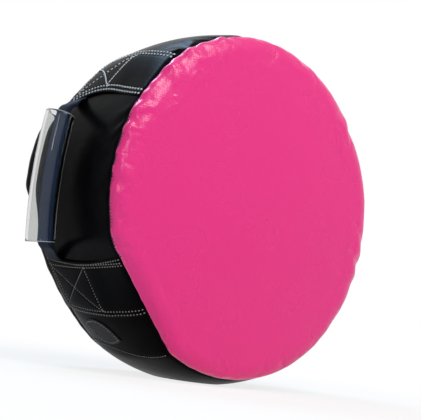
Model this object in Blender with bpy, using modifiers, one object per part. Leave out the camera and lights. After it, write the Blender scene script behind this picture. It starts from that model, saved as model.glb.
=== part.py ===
"""A round punching shield, stood on its rim.

A stack of foam in a sewn vinyl cover: a crowned strike face with a rounded
shoulder, a wall that swells between its two seams, and a plain back. Four
bands are sewn across the wall. Each side has a handle: webbing whose two ends
are sewn under the bands, threaded through a bowed tube.

Metres, +Z up. The strike face looks along -Y and the handles are at -X and
+X. The origin is on the floor under the middle of the shield. Angles go round
the shield's own axis from +X towards +Z, and a depth is measured backwards
from the seam round the strike face.
"""

import math

import bmesh
import bpy
from mathutils import Vector

# Pad
SEAM_RADIUS = 0.192
WALL_DEPTH = 0.136
FRONT_SHOULDER_DEPTH = 0.0145
REAR_SHOULDER_DEPTH = 0.015
SHOULDER_RUN = 0.018
SHOULDER_SWELL = 0.0015
SHOULDER_LIP = 0.004
FACE_CROWN = 0.0025
SEAM_PINCH = 0.0025
PINCH_REACH = 0.007
WALL_SWELL = 0.0105
LOW_SWELL = 0.004
HANDLE_BAY_SWELL = 0.002
SWELL_STARTS = 24.0
SWELL_SPAN = 28.0
SWELL_ROUNDNESS = 0.7
REST_SINK = 0.0035
STEPS = 64
WALL_SPANS = 4
FACE_RINGS = (0.0, 0.35, 0.65, 0.88)
SHOULDER_POINTS = 4

# Layers
COVER_THICKNESS = 0.0012
LAYER_GAP = 0.0003
FOAM_CLEARANCE = 0.0006
STRIKE_FOAM_DEPTH = 0.030
BACK_FOAM_DEPTH = 0.025

# Bands sewn across the wall, and where the rim is drawn flat beside them
BAND_ANGLE = 37.3
BAND_WIDTH = 0.069
BAND_THICKNESS = 0.0012
BAND_END_MARGIN = 0.0015
SKIN_GAP = 0.0004
FLATS = ((38.0, 3.5), (145.0, 7.5), (222.0, 21.0), (324.0, 5.5))
FLAT_REACH = 60.0
FLAT_SOFTNESS = 0.0008
REAR_RELIEF_SHARE = 0.6

# Webbing
WEBBING_WIDTH = 0.060
WEBBING_THICKNESS = 0.0018
FOLDED_LAYERS = 3
FOLDED_WIDTH = 0.0206
TAB_FROM_REAR_SEAM = 0.045
TAB_LENGTH = 0.050
TAB_MARGIN = 0.001
TAB_SLOPE = 0.006
STUB_RUN = 0.0042
MOUTH_MARGIN = 0.0018
KNUCKLE_GAP = 0.0004
NECK_SHARE = 0.4
THROAT_SHARE = 0.75
HINGE_STEPS = 48

# Handle tube
HANDLE_DEPTH = 0.079
TUBE_RADIUS = 0.0155
TUBE_WALL = 0.003
TUBE_LENGTH = 0.138
TUBE_BOW_RADIUS = 0.530
TUBE_STEPS = 24
TUBE_RINGS = 8
TUBE_DROP = 0.007
TUBE_TRAVEL = 0.006
FINGER_GAP = 0.010
STRAP_OFFSET = 0.0054
STRAP_RUN_OUT = 0.002
STRAP_BEND_RADIUS = 0.008
STRAP_BEND_STEPS = 3

# Label patch
LABEL_ANGLE = 233.4
LABEL_DEPTH = 0.080
LABEL_LENGTH = 0.057
LABEL_HEIGHT = 0.030
LABEL_TILT = -22.0
LABEL_THICKNESS = 0.0008

# Working values
MERGE_DISTANCE = 0.00001
SHARP_ANGLE = 40.0
MOVE_STARTS = 0.8
MOVE_SPAN = 0.25
GUIDE_MARGIN = 0.040
SIDES = {"left": -1, "right": 1}
LEVELS = {"upper": 1, "lower": -1}

# Sizes that follow
FOLDED_THICKNESS = FOLDED_LAYERS * WEBBING_THICKNESS
KNUCKLE_RADIUS = FOLDED_WIDTH / 2
REST_RADIUS = SEAM_RADIUS + WALL_SWELL + LOW_SWELL - REST_SINK
FACE_FLAT_RADIUS = SEAM_RADIUS - SHOULDER_RUN
OVERALL_DEPTH = FACE_CROWN + FRONT_SHOULDER_DEPTH + WALL_DEPTH + REAR_SHOULDER_DEPTH
SEAM_Y = -OVERALL_DEPTH / 2 + FACE_CROWN + FRONT_SHOULDER_DEPTH
HANDLE_Y = SEAM_Y + HANDLE_DEPTH
TAB_DEPTH = WALL_DEPTH - TAB_FROM_REAR_SEAM
TUBE_CENTRE_RADIUS = SEAM_RADIUS + HANDLE_BAY_SWELL + FINGER_GAP + TUBE_RADIUS
STRAIGHT_REACH = {
    "upper": TUBE_LENGTH / 2 - TUBE_DROP + TUBE_TRAVEL + STRAP_RUN_OUT,
    "lower": TUBE_LENGTH / 2 + TUBE_DROP + STRAP_RUN_OUT,
}
GUIDE_HALF_HEIGHT = TUBE_LENGTH / 2 + GUIDE_MARGIN
BAND_HALF_ANGLE = math.degrees(BAND_WIDTH / 2 / SEAM_RADIUS)
FOAM_INSET = COVER_THICKNESS + FOAM_CLEARANCE
CORE_START = FOAM_INSET - FRONT_SHOULDER_DEPTH + STRIKE_FOAM_DEPTH
CORE_END = WALL_DEPTH + REAR_SHOULDER_DEPTH - FOAM_INSET - BACK_FOAM_DEPTH


def clear_scene():
    for old in list(bpy.data.objects):
        bpy.data.objects.remove(old, do_unlink=True)


def new_collection(name):
    collection = bpy.data.collections.new(name)
    bpy.context.scene.collection.children.link(collection)
    return collection


def new_material(name, colour, roughness, alpha=1.0):
    material = bpy.data.materials.new(name)
    material.use_nodes = True
    shader = material.node_tree.nodes["Principled BSDF"]
    shader.inputs["Base Color"].default_value = (*colour, 1.0)
    shader.inputs["Roughness"].default_value = roughness
    shader.inputs["Metallic"].default_value = 0.0
    shader.inputs["Alpha"].default_value = alpha
    return material


def smooth_step(value):
    value = min(max(value, 0.0), 1.0)
    return value * value * (3.0 - 2.0 * value)


def turn_between(angle, centre):
    """Signed turn in degrees from centre to angle."""
    return (angle - centre + 180.0) % 360.0 - 180.0


def drawn_in(angle, depth):
    """How far the bands draw the wall flat: less towards the back."""
    total = 1.0
    for centre, half_span in FLATS:
        turn = turn_between(angle, centre)
        if abs(turn) < FLAT_REACH:
            chord = SEAM_RADIUS * math.cos(math.radians(half_span))
            reach = chord / math.cos(math.radians(turn))
            total += math.exp((SEAM_RADIUS - reach) / FLAT_SOFTNESS)
    relief = REAR_RELIEF_SHARE * min(max(depth / WALL_DEPTH, 0.0), 1.0)
    return FLAT_SOFTNESS * math.log(total) * (1.0 - relief)


def swell(angle):
    """How far the wall swells: little behind the handles, most low down."""
    away = abs(turn_between(2 * angle, 0.0)) / 2
    share = smooth_step((away - SWELL_STARTS) / SWELL_SPAN)
    full = WALL_SWELL + LOW_SWELL * max(0.0, -math.sin(math.radians(angle)))
    return HANDLE_BAY_SWELL + (full - HANDLE_BAY_SWELL) * share


def fullness(depth):
    """Share of the swell at this depth: none at the seams, full midway."""
    share = min(max(depth / WALL_DEPTH, 0.0), 1.0)
    return (4.0 * share * (1.0 - share)) ** SWELL_ROUNDNESS


def pinch(depth):
    """How far the seams pull the wall in, close beside them."""
    edge = min(depth, WALL_DEPTH - depth)
    return SEAM_PINCH * max(0.0, 1.0 - edge / PINCH_REACH)


def wall_depths():
    """Depths of the wall's rings: its seams, and where the foam changes."""
    span = (CORE_END - CORE_START) / WALL_SPANS
    depths = [CORE_START + span * step for step in range(WALL_SPANS + 1)]
    return sorted([0.0, PINCH_REACH, *depths, WALL_DEPTH - PINCH_REACH, WALL_DEPTH])


def wall_radius(angle, depth):
    """Radius of the wall's outer face."""
    radius = SEAM_RADIUS - drawn_in(angle, depth) - pinch(depth)
    return radius + swell(angle) * fullness(depth)


def on_shield(radius, angle, depth):
    """World position from the shield's own radius, angle and depth."""
    turn = math.radians(angle)
    height = REST_RADIUS + radius * math.sin(turn)
    return Vector((radius * math.cos(turn), SEAM_Y + depth, height))


def settle(position, inset):
    """Move a turned point to its place on the drawn-in, settled pad.

    position is (radius along X and Y, minus the depth along Z). inset is how
    far the piece lies inside the pad's outer face.
    """
    radius = math.hypot(position.x, position.y)
    depth = -position.z
    angle = math.degrees(math.atan2(position.y, position.x)) % 360.0
    share = smooth_step((radius / FACE_FLAT_RADIUS - MOVE_STARTS) / MOVE_SPAN)
    moved = (swell(angle) - WALL_SWELL) * fullness(depth) - drawn_in(angle, depth)
    place = on_shield(radius + moved * share, angle, depth)
    place.z = max(place.z, inset)
    return place


def turned_piece(name, profile, inset, collection, material, shell):
    """Turn a profile of (radius, depth) points, and settle it on the pad."""
    outline = bpy.data.meshes.new(name + "_outline")
    points = [(radius, 0.0, -depth) for radius, depth in profile]
    edges = [(index, index + 1) for index in range(len(points) - 1)]
    outline.from_pydata(points, edges, [])
    spun = bpy.data.objects.new(name + "_spun", outline)
    bpy.context.scene.collection.objects.link(spun)
    screw = spun.modifiers.new("Turn", "SCREW")
    screw.steps = STEPS
    screw.render_steps = STEPS
    screw.use_merge_vertices = True
    screw.merge_threshold = MERGE_DISTANCE
    bpy.context.view_layer.update()
    graph = bpy.context.evaluated_depsgraph_get()
    mesh = bpy.data.meshes.new_from_object(spun.evaluated_get(graph))
    bpy.data.objects.remove(spun, do_unlink=True)
    for vertex in mesh.vertices:
        vertex.co = settle(vertex.co, inset)
    mesh.name = name
    piece = finish_piece(name, mesh, collection, material)
    if shell:
        thicken(piece, COVER_THICKNESS, -1.0)
    return piece


def finish_piece(name, mesh, collection, material):
    piece = bpy.data.objects.new(name, mesh)
    collection.objects.link(piece)
    mesh.materials.clear()
    mesh.materials.append(material)
    mesh.shade_smooth()
    mesh.set_sharp_from_angle(angle=math.radians(SHARP_ANGLE))
    return piece


def thicken(piece, thickness, side):
    """Give an open surface its thickness, inwards (-1) or outwards (+1)."""
    solidify = piece.modifiers.new("Thickness", "SOLIDIFY")
    solidify.thickness = thickness
    solidify.offset = side
    solidify.use_even_offset = True


def crown(inset):
    """Points of the face, from the middle to the start of its shoulder."""
    points = []
    for share in FACE_RINGS + (1.0,):
        rise = FACE_CROWN * (1.0 - share ** 2)
        depth = inset - FRONT_SHOULDER_DEPTH - rise
        points.append((share * FACE_FLAT_RADIUS, depth))
    return points


def shoulder(depth, inset):
    """Quarter round, from just past the flat to its outermost point."""
    across = SHOULDER_RUN + SHOULDER_SWELL - inset
    along = depth - SHOULDER_LIP - inset
    points = []
    for step in range(1, SHOULDER_POINTS + 1):
        turn = math.radians(90.0 * (1.0 - step / SHOULDER_POINTS))
        radius = FACE_FLAT_RADIUS + across * math.cos(turn)
        points.append((radius, SHOULDER_LIP + along * math.sin(turn)))
    return points


def front_shoulder(inset):
    return [(r, -d) for r, d in shoulder(FRONT_SHOULDER_DEPTH, inset)]


def rear_shoulder(inset):
    points = shoulder(REAR_SHOULDER_DEPTH, inset)
    return [(r, WALL_DEPTH + d) for r, d in reversed(points)]


def make_covers(collection, pink, black):
    """The three sewn skins, each open where it meets the next."""
    seam_edge = SEAM_RADIUS - SEAM_PINCH
    half_gap = LAYER_GAP / 2
    face = crown(0.0) + front_shoulder(0.0) + [(seam_edge, -half_gap)]
    turned_piece("strike_cover", face, 0.0, collection, pink, shell=True)

    wall = []
    for depth in wall_depths():
        clear = min(max(depth, half_gap), WALL_DEPTH - half_gap)
        wall.append((base_wall_radius(depth), clear))
    turned_piece("gusset_wall", wall, 0.0, collection, black, shell=True)

    back_depth = WALL_DEPTH + REAR_SHOULDER_DEPTH
    back = [(seam_edge, WALL_DEPTH + half_gap)] + rear_shoulder(0.0)
    back += [(FACE_FLAT_RADIUS, back_depth), (0.0, back_depth)]
    turned_piece("back_cover", back, 0.0, collection, black, shell=True)


def base_wall_radius(depth):
    """Radius of the wall's outer face before it is settled."""
    return SEAM_RADIUS + WALL_SWELL * fullness(depth) - pinch(depth)


def make_foam(collection, firm, soft):
    """Firm foam behind the face, a deep soft core, and a backing sheet."""
    inset = FOAM_INSET
    neck = SEAM_RADIUS - SEAM_PINCH - inset
    half_gap = LAYER_GAP / 2
    side = [(base_wall_radius(depth) - inset, depth) for depth in wall_depths()]
    side = [point for point in side if CORE_START <= point[1] <= CORE_END]
    first = side[0][0]
    last = side[-1][0]

    profile = crown(inset) + front_shoulder(inset)[:-1]
    profile += [(neck, -SHOULDER_LIP), (neck, SHOULDER_LIP)]
    profile += [(first, CORE_START - half_gap), (0.0, CORE_START - half_gap)]
    turned_piece("strike_foam", profile, inset, collection, firm, shell=False)

    profile = [(0.0, CORE_START + half_gap), (first, CORE_START + half_gap)]
    profile += side[1:-1]
    profile += [(last, CORE_END - half_gap), (0.0, CORE_END - half_gap)]
    turned_piece("core_foam", profile, inset, collection, soft, shell=False)

    back_depth = WALL_DEPTH + REAR_SHOULDER_DEPTH - inset
    profile = [(0.0, CORE_END + half_gap), (last, CORE_END + half_gap)]
    profile += [(neck, WALL_DEPTH - SHOULDER_LIP), (neck, WALL_DEPTH + SHOULDER_LIP)]
    profile += rear_shoulder(inset)[1:]
    profile += [(FACE_FLAT_RADIUS, back_depth), (0.0, back_depth)]
    turned_piece("back_foam", profile, inset, collection, firm, shell=False)


def band_angle(side, level, away):
    """Angle round the shield, away degrees from the middle of a handle."""
    if SIDES[side] > 0:
        return LEVELS[level] * away
    return 180.0 - LEVELS[level] * away


def tab_radius(side, level, away):
    """Radius of the middle of the webbing that lies under a band."""
    angle = band_angle(side, level, away)
    half = WEBBING_WIDTH / 2
    depths = [TAB_DEPTH + half * step / 4 for step in range(-4, 5)]
    under = max(wall_radius(angle, depth) for depth in depths)
    return under + SKIN_GAP + WEBBING_THICKNESS / 2


def band_lift(side, level, away, depth):
    """Gap from the wall to the band: more where the webbing lies between."""
    across = abs(depth - TAB_DEPTH) - WEBBING_WIDTH / 2 - TAB_MARGIN
    tab_end = BAND_ANGLE - BAND_HALF_ANGLE + math.degrees(TAB_LENGTH / SEAM_RADIUS)
    past = math.radians(away - tab_end) * SEAM_RADIUS - TAB_MARGIN
    share = 1.0 - min(max(max(across, past) / TAB_SLOPE, 0.0), 1.0)
    angle = band_angle(side, level, away)
    over = tab_radius(side, level, away) + WEBBING_THICKNESS / 2 + SKIN_GAP
    over -= wall_radius(angle, depth)
    return SKIN_GAP + (over - SKIN_GAP) * share


def mapped_grid(name, rows, columns, place, collection, material):
    """A grid whose points are place(row, column), facing outwards."""
    mesh = bpy.data.meshes.new(name)
    grid = bmesh.new()
    spans = len(rows) - 1, len(columns) - 1
    bmesh.ops.create_grid(grid, x_segments=spans[0], y_segments=spans[1], size=1.0)
    for vertex in grid.verts:
        row = round((vertex.co.x + 1.0) / 2.0 * spans[0])
        column = round((vertex.co.y + 1.0) / 2.0 * spans[1])
        vertex.co = place(rows[row], columns[column])
    face_outwards(grid)
    grid.to_mesh(mesh)
    grid.free()
    return finish_piece(name, mesh, collection, material)


def face_outwards(surface):
    """Turn an open patch on the wall so that its faces look outwards."""
    surface.normal_update()
    first = surface.faces[:][0]
    middle = first.calc_center_median()
    outward = Vector((middle.x, 0.0, middle.z - REST_RADIUS))
    if first.normal.dot(outward) < 0.0:
        bmesh.ops.reverse_faces(surface, faces=surface.faces[:])


def make_band(side, level, collection, material):
    """One reinforcing band, raised over the webbing sewn under it."""
    first = BAND_ANGLE - BAND_HALF_ANGLE
    last = BAND_ANGLE + BAND_HALF_ANGLE
    tab_end = first + math.degrees((TAB_LENGTH + TAB_MARGIN) / SEAM_RADIUS)
    slope_end = tab_end + math.degrees(TAB_SLOPE / SEAM_RADIUS)
    aways = [first + (tab_end - first) * step / 4 for step in range(5)]
    aways += [slope_end, last]

    half = WEBBING_WIDTH / 2 + TAB_MARGIN
    start = TAB_DEPTH - half
    stop = TAB_DEPTH + half
    depths = [BAND_END_MARGIN, PINCH_REACH, CORE_START]
    depths += [(CORE_START + start - TAB_SLOPE) / 2, start - TAB_SLOPE, start]
    depths += [start + half * step for step in (0.5, 1.0, 1.5)]
    depths += [stop, stop + TAB_SLOPE]
    depths += [WALL_DEPTH - PINCH_REACH, WALL_DEPTH - BAND_END_MARGIN]

    def place(away, depth):
        angle = band_angle(side, level, away)
        radius = wall_radius(angle, depth) + band_lift(side, level, away, depth)
        return on_shield(radius, angle, depth)

    name = f"{level}_{side}_band"
    band = mapped_grid(name, aways, depths, place, collection, material)
    thicken(band, BAND_THICKNESS, 1.0)


def lofted_strap(name, side, stations, collection, material):
    """Webbing through stations of (outward, up, depth, width, thickness).

    Outward is the distance from the shield's axis, up is the height over it,
    and depth is where the webbing's middle line lies. Each section has its
    edges rounded off.
    """
    loft = bmesh.new()
    rings = []
    for index, (outward, up, depth, width, thickness) in enumerate(stations):
        before = stations[max(index - 1, 0)]
        after = stations[min(index + 1, len(stations) - 1)]
        along = Vector((after[0] - before[0], after[1] - before[1])).normalized()
        square = Vector((-along.y, along.x))
        half_width = width / 2
        half_thickness = thickness / 2
        edge = half_width - half_thickness
        section = (
            (half_width, 0.0), (edge, half_thickness),
            (-edge, half_thickness), (-half_width, 0.0),
            (-edge, -half_thickness), (edge, -half_thickness),
        )
        ring = []
        for across, raised in section:
            x = SIDES[side] * (outward + square.x * raised)
            z = REST_RADIUS + up + square.y * raised
            ring.append(loft.verts.new((x, SEAM_Y + depth + across, z)))
        rings.append(ring)
    count = len(rings[0])
    for first, second in zip(rings, rings[1:]):
        for index in range(count):
            following = (index + 1) % count
            corners = (first[index], first[following])
            corners += (second[following], second[index])
            loft.faces.new(corners)
    loft.faces.new(rings[0])
    loft.faces.new(rings[-1])
    bmesh.ops.recalc_face_normals(loft, faces=loft.faces[:])
    mesh = bpy.data.meshes.new(name)
    loft.to_mesh(mesh)
    loft.free()
    return finish_piece(name, mesh, collection, material)


def tube_place(up):
    """Distance from the axis of the tube's middle line, at this height."""
    return TUBE_CENTRE_RADIUS - up ** 2 / (2 * TUBE_BOW_RADIUS)


def strap_place(up):
    """The webbing inside the tube, drawn against its inner side."""
    return tube_place(up) - STRAP_OFFSET


def mouth_away():
    """Angle from the handle's middle to just outside a band's edge."""
    return BAND_ANGLE - BAND_HALF_ANGLE - math.degrees(MOUTH_MARGIN / SEAM_RADIUS)


def band_mouth(level):
    """Where the webbing leaves a band: outward and away from the middle."""
    away = math.radians(mouth_away())
    radius = tab_radius("right", level, mouth_away())
    return Vector((radius * math.cos(away), radius * math.sin(away)))


def hinge_out():
    """Distance from the shield's axis to the upright swing axes."""
    furthest = max(band_mouth(level).x for level in LEVELS)
    return furthest + STUB_RUN + KNUCKLE_RADIUS + KNUCKLE_GAP


def leg_direction(level):
    """From the band's mouth towards the bend beside the tube."""
    straight = STRAIGHT_REACH[level]
    bend = Vector((strap_place(straight), straight))
    return (bend - band_mouth(level)).normalized()


def hinge_place(level):
    """Where the swinging webbing meets its sewn end."""
    mouth = band_mouth(level)
    way = leg_direction(level)
    return mouth + way * (hinge_out() - mouth.x) / way.x


def grip_half_path(level):
    """From the middle of the tube out, round the bend, to past the hinge."""
    points = []
    for step in range(TUBE_RINGS // 2 + 1):
        up = STRAIGHT_REACH[level] * step / (TUBE_RINGS // 2)
        points.append(Vector((strap_place(up), up)))
    tangent = (points[-1] - points[-2]).normalized()
    way = -leg_direction(level)
    start = points[-1]
    turn = tangent.angle(way)
    centre = start + Vector((-tangent.y, tangent.x)) * STRAP_BEND_RADIUS
    across = start - centre
    for step in range(1, STRAP_BEND_STEPS + 1):
        swing = turn * step / STRAP_BEND_STEPS
        rotated = Vector((
            across.x * math.cos(swing) - across.y * math.sin(swing),
            across.x * math.sin(swing) + across.y * math.cos(swing),
        ))
        points.append(centre + rotated)
    points.append(hinge_place(level) + way * 2 * KNUCKLE_RADIUS)
    return points


def hinge_round(name, side, radius, collection):
    """A guide cylinder on the handle's upright swing axis."""
    mesh = bpy.data.meshes.new(name)
    round_bar = bmesh.new()
    bmesh.ops.create_cone(
        round_bar, cap_ends=True, segments=HINGE_STEPS,
        radius1=radius, radius2=radius, depth=2 * GUIDE_HALF_HEIGHT,
    )
    round_bar.to_mesh(mesh)
    round_bar.free()
    return add_guide(name, side, mesh, collection)


def knuckle_keeper(side, collection):
    """Guide block for the swinging webbing: round at the hinge."""
    name = f"{side}_keeper"
    mesh = bpy.data.meshes.new(name)
    block = bmesh.new()
    reach = 2 * TUBE_RADIUS + GUIDE_MARGIN
    plan = [(reach, TUBE_RADIUS), (0.0, TUBE_RADIUS)]
    for step in range(HINGE_STEPS // 2 + 1):
        turn = math.radians(90.0 + 360.0 * step / HINGE_STEPS)
        plan.append((KNUCKLE_RADIUS * math.cos(turn), KNUCKLE_RADIUS * math.sin(turn)))
    plan += [(0.0, -TUBE_RADIUS), (reach, -TUBE_RADIUS)]
    rings = []
    for height in (-GUIDE_HALF_HEIGHT, GUIDE_HALF_HEIGHT):
        rings.append([block.verts.new((SIDES[side] * x, y, height)) for x, y in plan])
    for index in range(len(plan)):
        following = (index + 1) % len(plan)
        corners = (rings[0][index], rings[0][following])
        block.faces.new(corners + (rings[1][following], rings[1][index]))
    block.faces.new(rings[0])
    block.faces.new(rings[1])
    bmesh.ops.recalc_face_normals(block, faces=block.faces[:])
    block.to_mesh(mesh)
    block.free()
    return add_guide(name, side, mesh, collection)


def add_guide(name, side, mesh, collection):
    """A cutting guide on one side's swing axis, which isn't part of the shield."""
    guide = bpy.data.objects.new(name, mesh)
    collection.objects.link(guide)
    guide.location = (SIDES[side] * hinge_out(), HANDLE_Y, REST_RADIUS)
    guide.hide_render = True
    guide.display_type = "WIRE"
    return guide


def trim(piece, guide, operation):
    boolean = piece.modifiers.new("Trim", "BOOLEAN")
    boolean.operation = operation
    boolean.object = guide


def make_handle(side, collection, cutters, webbing, clear):
    """Sewn ends, swinging webbing and tube of one handle."""
    fixed_round = hinge_round(f"{side}_hinge_round", side,
                              KNUCKLE_RADIUS + KNUCKLE_GAP, cutters)
    keeper = knuckle_keeper(side, cutters)

    below = [Vector((p.x, -p.y)) for p in reversed(grip_half_path("lower")[1:])]
    path = below + grip_half_path("upper")
    stations = [(p.x, p.y, HANDLE_DEPTH, FOLDED_WIDTH, FOLDED_THICKNESS) for p in path]
    grip = lofted_strap(f"{side}_strap_grip", side, stations, collection, webbing)
    trim(grip, keeper, "INTERSECT")

    for level, sign in LEVELS.items():
        stations = sewn_end_stations(side, level)
        stations = [(out, sign * up, *rest) for out, up, *rest in stations]
        end = lofted_strap(f"{side}_strap_{level}_end", side, stations,
                           collection, webbing)
        trim(end, fixed_round, "DIFFERENCE")

    swing = bpy.data.objects.new(f"{side}_handle_swing_axis", None)
    collection.objects.link(swing)
    swing.location = (SIDES[side] * hinge_out(), HANDLE_Y, REST_RADIUS)
    tube = make_tube(side, collection, clear)
    for piece in (grip, tube):
        piece.parent = swing
        piece.matrix_parent_inverse = swing.matrix_basis.inverted()


def sewn_end_stations(side, level):
    """From the far end of the tab, out from under the band, to the hinge."""
    first = BAND_ANGLE - BAND_HALF_ANGLE
    tab_end = first + math.degrees(TAB_LENGTH / SEAM_RADIUS)
    stations = []
    for step in range(6):
        away = tab_end + (mouth_away() - tab_end) * step / 5
        turn = math.radians(away)
        radius = tab_radius(side, level, away)
        stations.append((radius * math.cos(turn), radius * math.sin(turn),
                         TAB_DEPTH, WEBBING_WIDTH, WEBBING_THICKNESS))
    mouth = band_mouth(level)
    hinge = hinge_place(level)
    gathered = (WEBBING_WIDTH + FOLDED_WIDTH) / 2
    middle = (TAB_DEPTH + HANDLE_DEPTH) / 2
    neck = mouth.lerp(hinge, NECK_SHARE)
    stations.append((neck.x, neck.y, middle, gathered, FOLDED_THICKNESS))
    for share in (THROAT_SHARE, 1.0):
        spot = mouth.lerp(hinge, share)
        stations.append((spot.x, spot.y, HANDLE_DEPTH, FOLDED_WIDTH, FOLDED_THICKNESS))
    return stations


def make_tube(side, collection, material):
    """The handle's tube: turned, bowed outwards, open at both ends."""
    name = f"{side}_grip_tube"
    mesh = bpy.data.meshes.new(name)
    tube = bmesh.new()
    bmesh.ops.create_cone(
        tube, cap_ends=False, segments=TUBE_STEPS,
        radius1=TUBE_RADIUS, radius2=TUBE_RADIUS, depth=TUBE_LENGTH,
    )
    upright = [e for e in tube.edges if abs(e.verts[0].co.z - e.verts[1].co.z) > TUBE_WALL]
    bmesh.ops.subdivide_edges(tube, edges=upright, cuts=TUBE_RINGS - 1, use_grid_fill=True)
    bmesh.ops.recalc_face_normals(tube, faces=tube.faces[:])
    centre = TUBE_CENTRE_RADIUS - TUBE_DROP ** 2 / (2 * TUBE_BOW_RADIUS)
    for vertex in tube.verts:
        bow = vertex.co.z ** 2 / (2 * TUBE_BOW_RADIUS)
        lean = vertex.co.z / TUBE_BOW_RADIUS
        out = vertex.co.x
        vertex.co.x = SIDES[side] * (centre - bow) + out
        vertex.co.z += REST_RADIUS - TUBE_DROP + SIDES[side] * out * lean
        vertex.co.y += HANDLE_Y
    tube.to_mesh(mesh)
    tube.free()
    piece = finish_piece(name, mesh, collection, material)
    thicken(piece, TUBE_WALL, -1.0)
    return piece


def make_label(collection, material):
    """A bare almond-shaped patch sewn low on the wall, pointed at both ends."""
    mesh = bpy.data.meshes.new("label_patch")
    patch = bmesh.new()
    bmesh.ops.create_circle(patch, cap_ends=True, cap_tris=True, segments=28, radius=1.0)
    tilt = math.radians(LABEL_TILT)
    for vertex in patch.verts:
        long_way = vertex.co.x * LABEL_LENGTH / 2
        short_way = vertex.co.y * abs(vertex.co.y) * LABEL_HEIGHT / 2
        depth = LABEL_DEPTH + long_way * math.cos(tilt) - short_way * math.sin(tilt)
        along = long_way * math.sin(tilt) + short_way * math.cos(tilt)
        angle = LABEL_ANGLE + math.degrees(along / SEAM_RADIUS)
        vertex.co = on_shield(wall_radius(angle, depth) + SKIN_GAP, angle, depth)
    face_outwards(patch)
    patch.to_mesh(mesh)
    patch.free()
    piece = finish_piece("label_patch", mesh, collection, material)
    thicken(piece, LABEL_THICKNESS, 1.0)


clear_scene()
SHIELD = new_collection("punching_shield")
CUTTERS = new_collection("cutters")

PINK = new_material("pink_vinyl", (0.80, 0.05, 0.235), 0.38)
BLACK = new_material("black_vinyl", (0.012, 0.012, 0.013), 0.32)
FIRM_FOAM = new_material("firm_foam", (0.16, 0.17, 0.18), 0.95)
SOFT_FOAM = new_material("soft_foam", (0.72, 0.68, 0.55), 0.95)
WEBBING = new_material("black_webbing", (0.010, 0.011, 0.016), 0.75)
CLEAR_PVC = new_material("clear_pvc", (0.60, 0.66, 0.75), 0.15, alpha=0.45)
LABEL = new_material("woven_label", (0.02, 0.02, 0.022), 0.7)

make_covers(SHIELD, PINK, BLACK)
make_foam(SHIELD, FIRM_FOAM, SOFT_FOAM)
for each_side in SIDES:
    make_handle(each_side, SHIELD, CUTTERS, WEBBING, CLEAR_PVC)
    for each_level in LEVELS:
        make_band(each_side, each_level, SHIELD, BLACK)
make_label(SHIELD, LABEL)
print(f"Hinge axes at x {hinge_out():.5f}, y {HANDLE_Y:.5f}")
print(f"Seam plane at y {SEAM_Y:.5f}, axis at z {REST_RADIUS:.5f}")
print(f"Tube middle at x {TUBE_CENTRE_RADIUS:.5f}")
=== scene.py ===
"""Looks of the round punching shield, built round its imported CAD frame.

Metres, +Z up, the strike face looks along -Y. Angles go round the shield's own
axis from +X towards +Z in degrees, and a depth is measured backwards from the
seam round the strike face. On a band, away is the angle from the handle's middle.
"""

import math

import bmesh
import bpy
import numpy as np
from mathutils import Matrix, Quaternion, Vector


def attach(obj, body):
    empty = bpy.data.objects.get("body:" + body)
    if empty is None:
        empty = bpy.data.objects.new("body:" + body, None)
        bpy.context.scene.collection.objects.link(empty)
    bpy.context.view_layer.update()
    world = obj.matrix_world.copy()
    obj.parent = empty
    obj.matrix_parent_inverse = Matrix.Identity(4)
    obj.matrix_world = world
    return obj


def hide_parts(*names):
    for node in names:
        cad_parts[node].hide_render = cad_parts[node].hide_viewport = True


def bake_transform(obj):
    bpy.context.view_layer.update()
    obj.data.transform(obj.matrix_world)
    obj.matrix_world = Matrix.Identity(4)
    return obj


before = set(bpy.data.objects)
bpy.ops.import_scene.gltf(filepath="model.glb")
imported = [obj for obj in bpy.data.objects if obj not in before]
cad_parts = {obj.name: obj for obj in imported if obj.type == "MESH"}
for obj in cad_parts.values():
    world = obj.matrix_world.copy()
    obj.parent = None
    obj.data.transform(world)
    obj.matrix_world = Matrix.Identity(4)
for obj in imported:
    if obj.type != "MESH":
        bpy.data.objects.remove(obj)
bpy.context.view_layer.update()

# Pad, as in part.py
SEAM_RADIUS = 0.192
WALL_DEPTH = 0.136
FRONT_SHOULDER_DEPTH = 0.0145
REAR_SHOULDER_DEPTH = 0.015
SHOULDER_RUN = 0.018
SHOULDER_SWELL = 0.0015
SHOULDER_LIP = 0.004
FACE_CROWN = 0.0025
WALL_SWELL = 0.0105
LOW_SWELL = 0.004
HANDLE_BAY_SWELL = 0.002
SWELL_STARTS = 24.0
SWELL_SPAN = 28.0
SWELL_ROUNDNESS = 0.7
FLATS = ((38.0, 3.5), (145.0, 7.5), (222.0, 21.0), (324.0, 5.5))
FLAT_REACH = 60.0
FLAT_SOFTNESS = 0.0008
REAR_RELIEF_SHARE = 0.6
MOVE_STARTS = 0.8
MOVE_SPAN = 0.25
REST_RADIUS = 0.203
SEAM_Y = -0.067
FACE_FLAT_RADIUS = SEAM_RADIUS - SHOULDER_RUN
SHOULDER_EDGE_RADIUS = SEAM_RADIUS + SHOULDER_SWELL

# Bands, webbing, tubes and patch, as in part.py
BAND_THICKNESS = 0.0012
SKIN_GAP = 0.0004
WEBBING_WIDTH = 0.06
WEBBING_THICKNESS = 0.0018
FOLDED_THICKNESS = 0.0054
TAB_DEPTH = 0.091
TAB_LENGTH = 0.05
HANDLE_DEPTH = 0.079
STRAIGHT_REACH = {"upper": 0.07, "lower": 0.078}
TUBE_RADIUS = 0.0155
TUBE_WALL = 0.003
TUBE_LENGTH = 0.138
TUBE_BOW_RADIUS = 0.53
TUBE_DROP = 0.007
TUBE_CENTRE_RADIUS = 0.2195
LABEL_ANGLE = 233.4
LABEL_DEPTH = 0.08
LABEL_LENGTH = 0.057
LABEL_HEIGHT = 0.03
LABEL_TILT = -22.0
LABEL_THICKNESS = 0.0008
SIDES = {"left": -1, "right": 1}
LEVELS = {"upper": 1, "lower": -1}

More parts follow.
